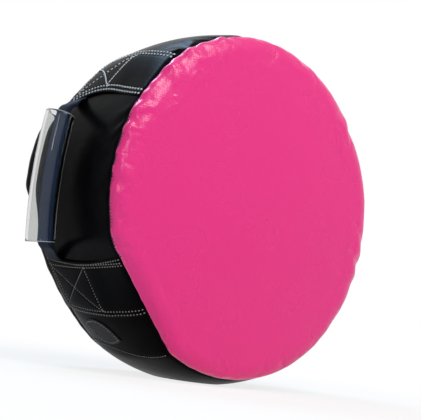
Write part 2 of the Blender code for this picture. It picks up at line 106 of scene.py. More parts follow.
# Pad, where the looks go further than part.py: a finer seam, a slack bulge behind each handle
SEAM_PINCH = 0.0012
PINCH_REACH = 0.0045
PINCH_POWER = 1.4
BULGE_RISE = 0.014
BULGE_ANGLE = 6.0
BULGE_REACH = 20.0
BULGE_FLATNESS = 1.6
BULGE_STARTS = 0.104
BULGE_RUN = 0.034
SKIN_COLUMNS = 480
CLOSING_GAP = 0.0001

# Webbing, where the looks differ from part.py: thinner under the bands, gathered at their edges
BAND_EDGE = 27.0
TAB_END = BAND_EDGE + math.degrees(TAB_LENGTH / SEAM_RADIUS)
TAB_THICKNESS = 0.001
TAB_SLOPE = 0.03
STRAP_MOUTH = {"upper": 29.2, "lower": 28.2}
GATHER_SPAN = 7.0
MOUTH_DEPTH = 0.1155
MOUTH_WIDTH = 0.0245
TUBE_MOUTH_WIDTH = 0.0232
FOLDED_WIDTH = 0.0228
STRAP_OFFSET = 0.0042

# Camera, fitted to the photograph
PICTURE_WIDTH = 421
SENSOR_WIDTH = 36.0
CAMERA_FOCAL_PIXELS = 965.35
CAMERA_TURN = -42.605
CAMERA_RISE = -7.759
CAMERA_ROLL = 7.848
CAMERA_DISTANCE = 1.1
CAMERA_AIM = (-0.05577, -0.067, 0.1902)

# Folds seen in the face's shoulder: angle, height, reach from the seam, slant
MARKED_FOLDS = (
    (107.0, 0.0008, 0.012, 0.2), (112.5, 0.0016, 0.012, 0.1), (117.0, 0.0012, 0.016, -0.2),
    (121.5, 0.0013, 0.012, 0.2), (126.5, 0.002, 0.014, 0.15), (131.0, 0.0016, 0.018, -0.15),
    (135.0, 0.0013, 0.016, 0.2), (141.0, 0.0015, 0.02, -0.1), (146.0, 0.0012, 0.016, 0.2),
    (150.5, 0.0014, 0.018, 0.15), (156.5, 0.0016, 0.018, 0.1), (161.5, 0.0017, 0.018, -0.2),
    (166.5, 0.002, 0.02, -0.1), (171.5, 0.0012, 0.018, 0.3), (178.0, 0.0014, 0.02, 0.1),
    (184.0, 0.0009, 0.016, 0.1), (189.5, 0.0008, 0.014, -0.2), (197.0, 0.0013, 0.018, 0.1),
    (203.0, 0.0008, 0.014, 0.1), (67.5, 0.001, 0.012, 0.1), (46.5, 0.001, 0.026, -0.1),
    (11.5, 0.0014, 0.012, 0.1), (350.0, 0.0011, 0.03, 0.2), (343.0, 0.001, 0.02, 0.1),
)
# Folds seen in the wall: angle, height, slant, and whether they start at the front seam
WALL_FOLDS = (
    (129.0, 0.0024, 0.2, True), (124.0, 0.0018, -0.1, True), (118.5, 0.0013, 0.1, True),
    (112.0, 0.001, 0.15, True), (104.0, 0.0008, -0.1, True), (158.5, 0.0012, 0.1, True),
    (164.0, 0.001, 0.2, True), (171.0, 0.0009, -0.1, True), (180.0, 0.0007, 0.1, True),
    (188.0, 0.0008, -0.15, True), (120.0, 0.0012, 0.1, False), (172.0, 0.001, 0.1, False),
    (184.0, 0.001, -0.1, False),
)
# Width of a fold in degrees at its seam, and how much it widens in degrees a metre
FACE_FOLD_WIDTH = 0.9
FACE_FOLD_SPREAD = 75.0
WALL_FOLD_WIDTH = 1.4
WALL_FOLD_SPREAD = 90.0

CLOTH_FRAMES = 20
CLOTH_CAP = 0.003
CLOTH_SETTINGS = {
    "quality": 6, "mass": 0.35, "air_damping": 2.0,
    "tension_stiffness": 25.0, "compression_stiffness": 25.0,
    "shear_stiffness": 12.0, "bending_stiffness": 0.08,
    "vertex_group_mass": "held", "pin_stiffness": 1.0,
    "use_pressure": True, "uniform_pressure_force": 2.0,
}

# Corners of the stitched box on each band, as (away, depth): rear near, front near, rear far, front far
BOX_CORNERS = {
    "upper": ((31.3, 0.1275), (32.6, 0.0725), (42.9, 0.126), (46.0, 0.062)),
    "lower": ((29.6, 0.129), (30.0, 0.065), (43.2, 0.117), (44.9, 0.055)),
}
# Thread thickness, and pitch and length of the stitches in the rows and on each line of the box
ROW_THICKNESS = {"upper": 0.0026, "lower": 0.0017}
ROW_STITCHES = {"upper": (0.0054, 0.0027), "lower": (0.0043, 0.0022)}
BOX_STITCHES = {
    "upper": ((0.004, 0.0022), (0.0036, 0.0032), (0.0054, 0.0032), (0.0029, 0.0029)),
    "lower": ((0.0032, 0.0018),) * 4,
}
ROW_END = 0.134
FRONT_ROW_END = 0.08
LAST_LINE_BEND = 1.6
PATCH_ROW_SHARE = 0.86
SMALL_THREAD = 0.0013

# Colours in linear light
PINK_COLOUR = (0.82, 0.015, 0.207)
BLACK_COLOUR = (0.0014, 0.0014, 0.002)
# The back's black is lighter than the wall's: the vinyl's own black with painted light added, so the back
# shows its form where no lamp reaches it
BACK_COLOUR = (0.0022, 0.0022, 0.0027)
NAVY_COLOUR = (0.012, 0.015, 0.026)
PATCH_COLOUR = (0.012, 0.011, 0.013)
# Webbing navy inside the tube is painted lighter and bluer, a painted haze and reflection of the tube;
# outside it is darker, partly the webbing's own navy and partly painted shade. TUBE_END_FADE blends the
# two at the tube's ends.
WEBBING_PAINTED_HAZE_IN_TUBE = ((0.02, 0.04, 0.09), (0.042, 0.082, 0.18))
WEBBING_OUTSIDE_WITH_PAINTED_SHADE = ((0.005, 0.008, 0.018), (0.012, 0.018, 0.038))
TUBE_END_FADE = 0.003
FLOOR_COLOUR = (0.92, 0.92, 0.92)
FLOOR_SIZE = 12.0
WORLD_FILL = 0.21


# Small sums


def turn_between(angle, centre):
    return (angle - centre + 180.0) % 360.0 - 180.0


def smooth_step(value):
    value = np.clip(value, 0.0, 1.0)
    return value * value * (3.0 - 2.0 * value)


def towards(first, last, share):
    return first + (last - first) * share


def lengths_along(line):
    """How far along a line each of its points is from the first."""
    steps = np.linalg.norm(np.diff(line, axis=0), axis=1)
    return np.concatenate([[0.0], np.cumsum(steps)])


def with_ends(values):
    """One more row at each end, in line with the last two."""
    return np.concatenate([2 * values[:1] - values[1:2], values, 2 * values[-1:] - values[-2:-1]])


# The shield's surface


def drawn_in(angle, depth):
    """How far the bands draw the rim flat: less towards the back."""
    total = np.ones_like(angle * depth)
    for centre, half_span in FLATS:
        turn = turn_between(angle, centre)
        near = np.abs(turn) < FLAT_REACH
        chord = SEAM_RADIUS * math.cos(math.radians(half_span))
        reach = chord / np.cos(np.radians(np.where(near, turn, 0.0)))
        total = total + np.where(near, np.exp((SEAM_RADIUS - reach) / FLAT_SOFTNESS), 0.0)
    relief = REAR_RELIEF_SHARE * np.clip(depth / WALL_DEPTH, 0.0, 1.0)
    return FLAT_SOFTNESS * np.log(total) * (1.0 - relief)


def swell(angle):
    """How far the wall stands out in the middle of its depth: least behind the handles."""
    away = np.abs(turn_between(2.0 * angle, 0.0)) / 2.0
    share = smooth_step((away - SWELL_STARTS) / SWELL_SPAN)
    full = WALL_SWELL + LOW_SWELL * np.maximum(0.0, -np.sin(np.radians(angle)))
    return towards(HANDLE_BAY_SWELL, full, share)


def fullness(depth):
    """The share of that swell at a depth."""
    share = np.clip(depth / WALL_DEPTH, 0.0, 1.0)
    return (4.0 * share * (1.0 - share)) ** SWELL_ROUNDNESS


def pinch(depth):
    edge = np.minimum(depth, WALL_DEPTH - depth)
    return SEAM_PINCH * np.clip(1.0 - edge / PINCH_REACH, 0.0, 1.0) ** PINCH_POWER


def bay_bulge(angle, depth):
    """The slack rear edge stands proud between the bands, behind each handle."""
    rise = np.degrees(np.arcsin(np.sin(np.radians(angle))))
    round_way = smooth_step(BULGE_FLATNESS * (1.0 - np.abs(rise - BULGE_ANGLE) / BULGE_REACH))
    return BULGE_RISE * round_way * smooth_step((depth - BULGE_STARTS) / BULGE_RUN)


def wall_radius(angle, depth):
    radius = SEAM_RADIUS - drawn_in(angle, depth) - pinch(depth)
    return radius + swell(angle) * fullness(depth) + bay_bulge(angle, depth)


def on_shield(radius, angle, depth):
    """World points from the shield's own radius, angle and depth, never under the floor."""
    turn = np.radians(angle)
    radius, turn, depth = np.broadcast_arrays(radius, turn, depth)
    x = radius * np.cos(turn)
    z = np.maximum(REST_RADIUS + radius * np.sin(turn), 0.0)
    return np.stack([x, SEAM_Y + depth, z], axis=-1)


def on_axis(depth):
    return (0.0, SEAM_Y + depth, REST_RADIUS)


def settled(radius, angle, depth):
    """World points of the face and the back, moved as part.py settles them."""
    share = smooth_step((radius / FACE_FLAT_RADIUS - MOVE_STARTS) / MOVE_SPAN)
    moved = (swell(angle) - WALL_SWELL) * fullness(depth) - drawn_in(angle, depth)
    moved = moved + bay_bulge(angle, depth)
    return on_shield(radius + moved * share, angle, depth)


def wall_frame(angle, depth):
    """Points on the wall, and the outward normals there."""
    step_angle = 0.05
    step_depth = 0.0003
    here = on_shield(wall_radius(angle, depth), angle, depth)
    turned = on_shield(wall_radius(angle + step_angle, depth), angle + step_angle, depth)
    deeper = on_shield(wall_radius(angle, depth + step_depth), angle, depth + step_depth)
    normal = np.cross(deeper - here, turned - here)
    return here, normal / np.linalg.norm(normal, axis=-1, keepdims=True)


# Meshes


def add_object(name, data):
    thing = bpy.data.objects.new(name, data)
    bpy.context.scene.collection.objects.link(thing)
    return thing


def new_object(name, points, faces, material, smooth=True):
    mesh = bpy.data.meshes.new(name)
    mesh.from_pydata(np.asarray(points).tolist(), [], faces)
    mesh.validate()
    mesh.materials.append(material)
    if smooth:
        mesh.shade_smooth()
    return add_object(name, mesh)


def mesh_points(mesh):
    points = np.empty(len(mesh.vertices) * 3)
    mesh.vertices.foreach_get("co", points)
    return points.reshape(-1, 3)


def closed_object(name, points, faces, material):
    """A closed mesh with its faces turned outwards, by the sign of its volume."""
    piece = new_object(name, points, faces, material)
    form = bmesh.new()
    form.from_mesh(piece.data)
    if form.calc_volume(signed=True) < 0.0:
        piece.data.flip_normals()
    form.free()
    return piece


def ring_faces(rows, columns, closed=False, open_columns=0):
    """Faces between rings of points.

    closed joins the last ring to the first too, and one open column leaves each ring open.
    """
    faces = []
    for row in range(rows if closed else rows - 1):
        below = row * columns
        above = (row + 1) % rows * columns
        for column in range(columns - open_columns):
            following = (column + 1) % columns
            faces.append((below + column, below + following, above + following, above + column))
    return faces


def capped_faces(rows, columns):
    """The same with a flat face over each end."""
    faces = ring_faces(rows, columns)
    faces.append(tuple(range(columns))[::-1])
    faces.append(tuple(range((rows - 1) * columns, rows * columns)))
    return faces


def lathe_object(name, rings, first, last, material):
    """A closed form from rings of points (rows, columns, 3) and two end points."""
    rows, columns = rings.shape[:2]
    points = np.concatenate([rings.reshape(-1, 3), [first, last]])
    faces = ring_faces(rows, columns)
    end = (rows - 1) * columns
    for column in range(columns):
        following = (column + 1) % columns
        faces.append((rows * columns, following, column))
        faces.append((rows * columns + 1, end + column, end + following))
    return closed_object(name, points, faces, material)


def turn_outwards(skin):
    """Turn the faces of an open skin outwards, by the one in its middle."""
    polygon = skin.data.polygons[len(skin.data.polygons) // 2]
    outward = polygon.center - Vector(on_axis(WALL_DEPTH / 2))
    if polygon.normal.dot(outward) < 0.0:
        skin.data.flip_normals()


def finer(rings):
    """Twice the rows and columns, on smooth curves through the same points."""
    for axis in (1, 0):
        values = np.moveaxis(rings, axis, 0)
        if axis == 1:
            padded = np.concatenate([values[-1:], values, values[:2]])
        else:
            padded = with_ends(values)
        middle = (9 * (padded[1:-2] + padded[2:-1]) - padded[:-3] - padded[3:]) / 16
        mixed = np.empty((len(values) + len(middle), *values.shape[1:]))
        mixed[0::2] = values
        mixed[1::2] = middle
        rings = np.moveaxis(mixed, 0, axis)
    rings[..., 2] = np.maximum(rings[..., 2], 0.0)
    return rings


def settle_cloth(rings, held):
    """Let the face's skin settle under pressure, and return its rings.

    held says of each row whether it is sewn or glued down.
    """
    rows, columns = rings.shape[:2]
    skin = new_object("face_skin", rings.reshape(-1, 3), ring_faces(rows, columns), BLACK)
    turn_outwards(skin)
    group = skin.vertex_groups.new(name="held")
    group.add(np.nonzero(np.broadcast_to(held, (rows, columns)).ravel())[0].tolist(), 1.0, "REPLACE")
    cloth = skin.modifiers.new("Cloth", "CLOTH")
    for name, value in CLOTH_SETTINGS.items():
        setattr(cloth.settings, name, value)
    cloth.settings.effector_weights.gravity = 0.0
    scene = bpy.context.scene
    for number in range(1, CLOTH_FRAMES + 1):
        scene.frame_set(number)
    graph = bpy.context.evaluated_depsgraph_get()
    moved = mesh_points(skin.evaluated_get(graph).to_mesh())
    bpy.data.objects.remove(skin, do_unlink=True)
    scene.frame_set(1)
    offset = moved.reshape(rows, columns, 3) - rings
    length = np.linalg.norm(offset, axis=-1, keepdims=True)
    return rings + offset * np.minimum(1.0, CLOTH_CAP / np.maximum(length, 1e-9))


def finish_piece(piece, body, nodes=()):
    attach(piece, body)
    if nodes:
        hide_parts(*nodes)


# Materials


def shader_of(material):
    return material.node_tree.nodes["Principled BSDF"]


def new_material(name, colour, roughness, specular=0.5, **values):
    """A plain material: values set more of its shader's inputs."""
    material = bpy.data.materials.new(name)
    material.use_nodes = True
    values.update(Base_Color=(*colour, 1.0), Roughness=roughness, Specular_IOR_Level=specular)
    for key, value in values.items():
        shader_of(material).inputs[key.replace("_", " ")].default_value = value
    return material


def add_node(owner, kind, links=(), **values):
    """Add a node: values set its properties or inputs, links are (from, input)."""
    node = owner.node_tree.nodes.new(kind)
    for key, value in values.items():
        if hasattr(node, key):
            setattr(node, key, value)
        else:
            node.inputs[key.replace("_", " ")].default_value = value
    for source, target in links:
        owner.node_tree.links.new(source, node.inputs[target])
    return node


def combine(owner, operation, *sources):
    links = [(source, index) for index, source in enumerate(sources)]
    return add_node(owner, "ShaderNodeMath", links, operation=operation).outputs[0]


def link_to(material, source, target):
    material.node_tree.links.new(source, shader_of(material).inputs[target])


def place_on(material):
    return add_node(material, "ShaderNodeTexCoord").outputs["Object"]


def texture(material, kind, place, output="Fac", **values):
    return add_node(material, "ShaderNodeTex" + kind, [(place, "Vector")], **values).outputs[output]


def cloud(material, place, scale):
    return texture(material, "Noise", place, Scale=scale, Detail=3.0)


def add_bumps(material, *layers):
    """Raise the surface by each (height, distance) in turn."""
    before = []
    for height, distance in layers:
        bump = add_node(material, "ShaderNodeBump", [(height, "Height"), *before],
                        Distance=distance, Strength=1.0)
        before = [(bump.outputs["Normal"], "Normal")]
    link_to(material, bump.outputs["Normal"], "Normal")


def ramp(material, source, start, end, low=0.0, high=1.0, kind="SMOOTHSTEP"):
    """Map a value from start and end to low and high, and hold it there beyond."""
    node = add_node(material, "ShaderNodeMapRange", [(source, "Value")], interpolation_type=kind,
                    From_Min=start, From_Max=end, To_Min=low, To_Max=high)
    return node.outputs["Result"]


def colour_mix(material, factor, first, second):
    node = add_node(material, "ShaderNodeMix", [(factor, "Factor")], data_type="RGBA")
    node.inputs[6].default_value = (*first, 1.0)
    node.inputs[7].default_value = (*second, 1.0)
    return node.outputs[2]


def vary_colour(material, colour, share, scale):
    """Vary the base colour a little, as a cloudy change in lightness."""
    cloudy = cloud(material, place_on(material), scale)
    darker = tuple(part * (1.0 - share) for part in colour)
    lighter = tuple(min(part * (1.0 + share), 1.0) for part in colour)
    link_to(material, colour_mix(material, cloudy, darker, lighter), "Base Color")


def vinyl(name, colour, roughness, specular, grain, weave, clouds, **values):
    """Coated vinyl: grain, a faint print of its fabric backing, soft ripples, worn gloss."""
    material = new_material(name, colour, sum(roughness) / 2, specular, **values)
    place = place_on(material)
    gloss = ramp(material, cloud(material, place, 14.0), 0.2, 0.8, *roughness)
    link_to(material, gloss, "Roughness")
    cells = texture(material, "Voronoi", place, "Distance", Scale=700.0, feature="F1")
    threads = [texture(material, "Wave", place, bands_direction=axis, Scale=115.0,
                       Distortion=1.0, Detail=1.0) for axis in ("X", "Z")]
    ripples = texture(material, "Noise", place, Scale=40.0, Detail=1.0)
    add_bumps(material, (cells, grain), (combine(material, "ADD", *threads), weave), (ripples, 0.0004))
    vary_colour(material, colour, *clouds)
    return material


def painted_haze_mask(material):
    """How far a spot of the webbing lies past the tube's ends, from 0 to 1: the mask between the painted
    haze inside the tube and the painted shade outside it.
    """
    height = add_node(material, "ShaderNodeSeparateXYZ", [(place_on(material), "Vector")]).outputs["Z"]
    above = combine(material, "SUBTRACT", height)
    above.node.inputs[1].default_value = REST_RADIUS - TUBE_DROP
    away = combine(material, "ABSOLUTE", above)
    return ramp(material, away, TUBE_LENGTH / 2 - TUBE_END_FADE, TUBE_LENGTH / 2 + TUBE_END_FADE)


def webbing_material():
    """Woven webbing from the strap's own UV map, a lighter navy where the tube is round it, as a painted
    haze and reflection of the tube, and darker past its ends, partly painted shade.
    """
    material = new_material("navy_webbing", NAVY_COLOUR, 0.65, 0.1)
    uv = add_node(material, "ShaderNodeUVMap", uv_map="strap").outputs["UV"]
    ribs = texture(material, "Wave", uv, bands_direction="X", Scale=260.0)
    yarns = texture(material, "Wave", uv, bands_direction="Y", Scale=330.0)
    woven = combine(material, "MULTIPLY", ribs, yarns)
    add_bumps(material, (woven, 0.0004))
    # Painted haze inside the tube, painted shade outside it
    inside = colour_mix(material, woven, *WEBBING_PAINTED_HAZE_IN_TUBE)
    outside = colour_mix(material, woven, *WEBBING_OUTSIDE_WITH_PAINTED_SHADE)
    painted_haze_and_shade = add_node(material, "ShaderNodeMix",
                      [(painted_haze_mask(material), "Factor"), (inside, 6), (outside, 7)], data_type="RGBA")
    link_to(material, painted_haze_and_shade.outputs[2], "Base Color")
    return material


def tube_material():
    """Clear soft PVC, slightly milky, with fine marks from handling."""
    material = new_material("clear_pvc", (0.72, 0.73, 0.72), 0.03, Transmission_Weight=1.0,
                            IOR=1.42, Specular_Tint=(0.6, 0.62, 0.66, 1.0))
    place = place_on(material)
    gloss = ramp(material, cloud(material, place, 60.0), 0.2, 0.8, 0.01, 0.05)
    link_to(material, gloss, "Roughness")
    add_bumps(material, (cloud(material, place, 20.0), 0.00004))
    return material


def thread_material(name, colour):
    material = new_material(name, colour, 0.6, 0.3)
    twist = texture(material, "Wave", place_on(material), bands_direction="DIAGONAL",
                    Scale=900.0, Distortion=2.0)
    add_bumps(material, (twist, 0.0003))
    vary_colour(material, colour, 0.25, 60.0)
    return material


def patch_material():
    """A bare patch of a fine weave."""
    material = new_material("bare_patch", PATCH_COLOUR, 0.7, 0.3)
    add_bumps(material, (texture(material, "Brick", place_on(material), Scale=300.0), 0.0002))
    vary_colour(material, PATCH_COLOUR, 0.4, 120.0)
    return material


PINK = vinyl("pink_vinyl", PINK_COLOUR, (0.25, 0.32), 0.46, 0.00003, 0.00004, (0.03, 9.0))
BLACK = vinyl("black_vinyl", BLACK_COLOUR, (0.26, 0.36), 0.06, 0.00005, 0.00002, (0.2, 12.0), IOR=1.25)
# Lighter black with painted light added on the back
BACK_BLACK = vinyl("back_vinyl", BACK_COLOUR, (0.32, 0.42), 0.11, 0.00006, 0.00003, (0.2, 12.0))
NAVY = webbing_material()
CLEAR = tube_material()
CUT_ENDS = new_material("cut_pvc", (0.62, 0.66, 0.68), 0.35, 0.4, Transmission_Weight=0.55)
WHITE_THREAD = thread_material("white_thread", (0.94, 0.94, 0.92))
# The white thread painted darker: painted shade on the lower bands and the low panel seam
PAINTED_SHADE_THREAD = thread_material("painted_shade_thread", (0.3, 0.265, 0.235))
BLACK_THREAD = thread_material("black_thread", (0.02, 0.014, 0.018))
PATCH_THREAD = thread_material("patch_thread", (0.42, 0.38, 0.36))
BARE = patch_material()


# Covers


ANGLES = np.arange(SKIN_COLUMNS)[None, :] * 360.0 / SKIN_COLUMNS
FINE_ANGLES = np.arange(2 * SKIN_COLUMNS)[None, :] * 180.0 / SKIN_COLUMNS


def cover_profile(side, deep, crown, radii):
    """(radius, depth) of a cover's outside, from its middle to its seam: side is -1 in front, 1 behind."""
    seam = SEAM_RADIUS - SEAM_PINCH
    across = SHOULDER_RUN + SHOULDER_SWELL
    tucked_in = 0.004
    points = []
    for radius in radii:
        points.append((radius, side * (deep + crown * (1.0 - (radius / FACE_FLAT_RADIUS) ** 2))))
    for turn in np.radians(np.linspace(84.0, 0.0, 15)):
        points.append((FACE_FLAT_RADIUS + across * math.cos(turn),
                       side * (SHOULDER_LIP + (deep - SHOULDER_LIP) * math.sin(turn))))
    for turn in np.radians((30.0, 60.0, 85.0)):
        points.append((seam + (across + FACE_FLAT_RADIUS - seam) * math.cos(turn),
                       side * SHOULDER_LIP * (1.0 - 0.95 * math.sin(turn))))
    points.append((seam - tucked_in, side * CLOSING_GAP))
    return np.array(points)


def closing_rings(depth):
    """Two flat rings that close a skin, the wider one first."""
    radii = np.array([[0.16], [0.08]])
    return settled(radii, FINE_ANGLES, np.full(radii.shape, depth))


def dimple_list():
    """(angle, arc, height, size) of small dents in the slack skin at the upper left."""
    chance = np.random.default_rng(5)
    dimples = []
    for _ in range(170):
        angle = chance.normal(152.0, 26.0)
        arc = chance.uniform(0.006, 0.034)
        height = chance.uniform(-0.0007, 0.0004) * (1.0 - arc / 0.05)
        dimples.append((angle, arc, height, chance.uniform(0.002, 0.0045)))
    return dimples


def plain_folds(seed, first, last):
    """Scattered gathers between two angles, as in MARKED_FOLDS."""
    chance = np.random.default_rng(seed)
    folds = []
    angle = first
    while angle < last:
        folds.append((angle % 360.0, chance.uniform(0.0002, 0.0006),
                      chance.uniform(0.009, 0.018), chance.uniform(-0.25, 0.25)))
        angle += chance.uniform(4.0, 9.0)
    return folds


def gathers(arc, folds, dimples):
    """Height of a skin over its smooth form, by the way from its seam."""
    arc = arc[:, None]
    dip_depth = 0.45
    dip_place = 2.1
    rise_run = 0.014
    height = np.zeros((len(arc), SKIN_COLUMNS))
    for angle, rise, reach, slant in folds:
        turn = turn_between(ANGLES, angle + slant * arc * 1000.0)
        width = FACE_FOLD_WIDTH + arc * FACE_FOLD_SPREAD
        ridge = np.exp(-((turn / width) ** 2))
        dips = np.exp(-(((np.abs(turn) - dip_place * width) / width) ** 2))
        along = smooth_step(arc / rise_run) * (1.0 - smooth_step(arc / (2.0 * reach)))
        height += rise * (ridge - dip_depth * dips) * along
    for angle, place, rise, size in dimples:
        across = np.radians(turn_between(ANGLES, angle)) * SEAM_RADIUS
        away = (across ** 2 + ((arc - place) / 1.5) ** 2) / size ** 2
        height += rise * np.exp(-away) * smooth_step((arc - 0.003) / 0.01)
    return height


def inward_normals(profile):
    """Normals into the pad, (rows, columns, 3), of a skin with this profile."""
    way = np.gradient(profile, axis=0)
    normal = np.stack([-way[:, 1], way[:, 0]], axis=-1)
    normal /= np.linalg.norm(normal, axis=-1, keepdims=True)
    turn = np.radians(ANGLES)
    along = np.broadcast_to(normal[:, 1:2], (len(profile), SKIN_COLUMNS))
    return np.stack([normal[:, 0:1] * np.cos(turn), along, normal[:, 0:1] * np.sin(turn)], axis=-1)


def gathered_rings(profile, arc, folds, dimples=()):
    height = gathers(arc, folds, dimples)
    rings = settled(profile[:, 0:1], ANGLES, profile[:, 1:2])
    return rings - height[..., None] * inward_normals(profile)


def make_cover(name, rings, first, last, material, nodes):
    """A stuffed piece from its rings and the depths of its two ends on the axis."""
    piece = lathe_object(name, rings, on_axis(first), on_axis(last), material)
    finish_piece(piece, "pad", nodes)


def make_face():
    radii = np.concatenate([np.linspace(0.012, 0.144, 12), np.linspace(0.1465, FACE_FLAT_RADIUS, 14)])
    profile = cover_profile(-1.0, FRONT_SHOULDER_DEPTH, FACE_CROWN, radii)
    folds = list(MARKED_FOLDS) + plain_folds(11, 208.0, 468.0)
    rings = gathered_rings(profile, lengths_along(profile[::-1])[::-1], folds, dimple_list())
    rows = np.arange(len(profile))[:, None]
    slack_from = 0.15
    first = int(np.argmin(np.abs(profile[:, 0] - slack_from)))
    held = (rows[first:] <= first + 1) | (rows[first:] >= len(profile) - 2)
    moved = settle_cloth(rings[first:], held) - rings[first:]
    inward = inward_normals(profile)
    depth = np.zeros((len(profile), SKIN_COLUMNS))
    depth[first:] = (moved * inward[first:]).sum(-1)
    depth -= depth.mean(axis=1, keepdims=True)
    rings = finer(rings + depth[..., None] * inward)
    rings = np.concatenate([rings, closing_rings(-CLOSING_GAP)])
    make_cover("strike_face", rings, -FRONT_SHOULDER_DEPTH - FACE_CROWN, -CLOSING_GAP,
               PINK, ("strike_cover", "strike_foam"))


def wall_gathers(angle, depth):
    """Height of the wall's loose vinyl over its smooth form."""
    folds = list(WALL_FOLDS)
    chance = np.random.default_rng(23)
    place = 196.0
    while place < 466.0:
        near_front = chance.uniform() < 0.6
        folds.append((place, chance.uniform(0.0003, 0.0008), chance.uniform(-0.2, 0.2), near_front))
        place += chance.uniform(7.0, 14.0)
    height = np.zeros(np.broadcast_shapes(angle.shape, depth.shape))
    for middle, rise, slant, near_front in folds:
        reach = depth if near_front else WALL_DEPTH - depth
        turn = turn_between(angle, middle + slant * reach * 1000.0)
        width = WALL_FOLD_WIDTH + reach * WALL_FOLD_SPREAD
        ridge = np.exp(-((turn / width) ** 2))
        dip = np.exp(-((turn / width - 1.8) ** 2))
        along = smooth_step((reach - 0.0015) / 0.006) * (1.0 - smooth_step(reach / 0.045))
        height = height + rise * (ridge - 0.5 * dip) * along
    return height


def make_wall():
    edge = np.array([0.0002, 0.001, 0.0025, 0.0045, 0.007])
    middle = np.linspace(0.01, WALL_DEPTH - 0.01, 36)
    depths = np.concatenate([edge, middle, WALL_DEPTH - edge[::-1]])[:, None]
    radius = wall_radius(ANGLES, depths) + wall_gathers(ANGLES, depths)
    rings = finer(on_shield(radius, ANGLES, depths))
    rear = WALL_DEPTH - CLOSING_GAP
    rings = np.concatenate([closing_rings(CLOSING_GAP)[::-1], rings, closing_rings(rear)])
    make_cover("side_wall", rings, CLOSING_GAP, rear, BLACK, ("gusset_wall", "core_foam"))


def make_back():
    radii = np.concatenate([np.linspace(FACE_FLAT_RADIUS, 0.153, 8), np.linspace(0.15, 0.012, 13)])
    profile = cover_profile(1.0, REAR_SHOULDER_DEPTH, 0.0, radii[::-1])[::-1]
    profile[:, 1] += WALL_DEPTH
    rings = finer(gathered_rings(profile, lengths_along(profile), plain_folds(31, 0.0, 355.0)))
    front = WALL_DEPTH + CLOSING_GAP
    rings = np.concatenate([closing_rings(front)[::-1], rings])
    make_cover("back_panel", rings, front, WALL_DEPTH + REAR_SHOULDER_DEPTH,
               BACK_BLACK, ("back_cover", "back_foam"))


# Bands: the rows give the angle away from the handle's middle at each depth


def band_angle(side, level, away):
    if SIDES[side] > 0:
        return LEVELS[level] * away
    return 180.0 - LEVELS[level] * away


def bow(depth, skew):
    """A bow over the wall's depth: none at the seams, one in the middle."""
    return np.sin(math.pi * np.clip(depth / WALL_DEPTH, 0.0, 1.0) ** skew)


def near_row(level, depth):
    if level == "upper":
        return 27.2 + 3.5 * bow(depth, 1.3)
    return 27.0 + 2.0 * bow(depth, 1.0)


def near_inner_row(level, depth):
    if level == "upper":
        return near_row(level, depth) + 1.75
    return 29.2 + 0.8 * bow(depth, 1.0)


def near_front_row(level, depth):
    """A third row that runs only over the front part of the lower band."""
    return near_inner_row(level, depth) - 0.9


def far_row(level, depth):
    if level == "upper":
        return 46.7 + 1.7 * bow(depth, 1.3)
    return 47.4 - 2.6 * depth / WALL_DEPTH


def far_inner_row(level, depth):
    gap = 1.6 if level == "upper" else 1.3
    return far_row(level, depth) - gap


def tab_radius(side, level, away, depth):
    """Radius of the middle of the webbing that lies under a band."""
    angle = band_angle(side, level, np.asarray(away))
    return wall_radius(angle, np.asarray(depth)) + SKIN_GAP / 2 + TAB_THICKNESS / 2


def band_lift(away, depth):
    """Gap from the wall to the band: more where the webbing lies between."""
    across = np.abs(depth - TAB_DEPTH) - WEBBING_WIDTH / 2
    past = np.radians(away - TAB_END) * SEAM_RADIUS
    share = 1.0 - smooth_step(np.maximum(across, past) / TAB_SLOPE)
    return SKIN_GAP + (TAB_THICKNESS + SKIN_GAP) * share


def groove(distance, depth, width):
    return depth * np.exp(-((distance / width) ** 2))


def line_distance(away, depth, start, end):
    """Distance on the wall from a point to a stitched line."""
    away, depth = np.broadcast_arrays(away, depth)
    point = np.stack([np.radians(away) * SEAM_RADIUS, depth], axis=-1)
    a = np.array([math.radians(start[0]) * SEAM_RADIUS, start[1]])
    b = np.array([math.radians(end[0]) * SEAM_RADIUS, end[1]])
    along = b - a
    share = np.clip(((point - a) @ along) / (along @ along), 0.0, 1.0)
    return np.linalg.norm(point - a - share[..., None] * along, axis=-1)


def box_lines(level):
    rear_near, front_near, rear_far, front_far = BOX_CORNERS[level]
    return ((rear_near, rear_far), (front_near, front_far), (rear_near, front_far), (front_near, rear_far))


def band_radius(side, level, away, depth):
    """Radius of a band's outer face, drawn in along its stitches."""
    groove_width = 0.0016
    radius = wall_radius(band_angle(side, level, away), depth) + band_lift(away, depth)
    radius = radius + BAND_THICKNESS
    for row in (near_row, near_inner_row, far_row, far_inner_row):
        distance = np.radians(away - row(level, depth)) * SEAM_RADIUS
        radius = radius - groove(distance, 0.0006, groove_width)
    for start, end in box_lines(level):
        radius = radius - groove(line_distance(away, depth, start, end), 0.0005, groove_width)
    return radius


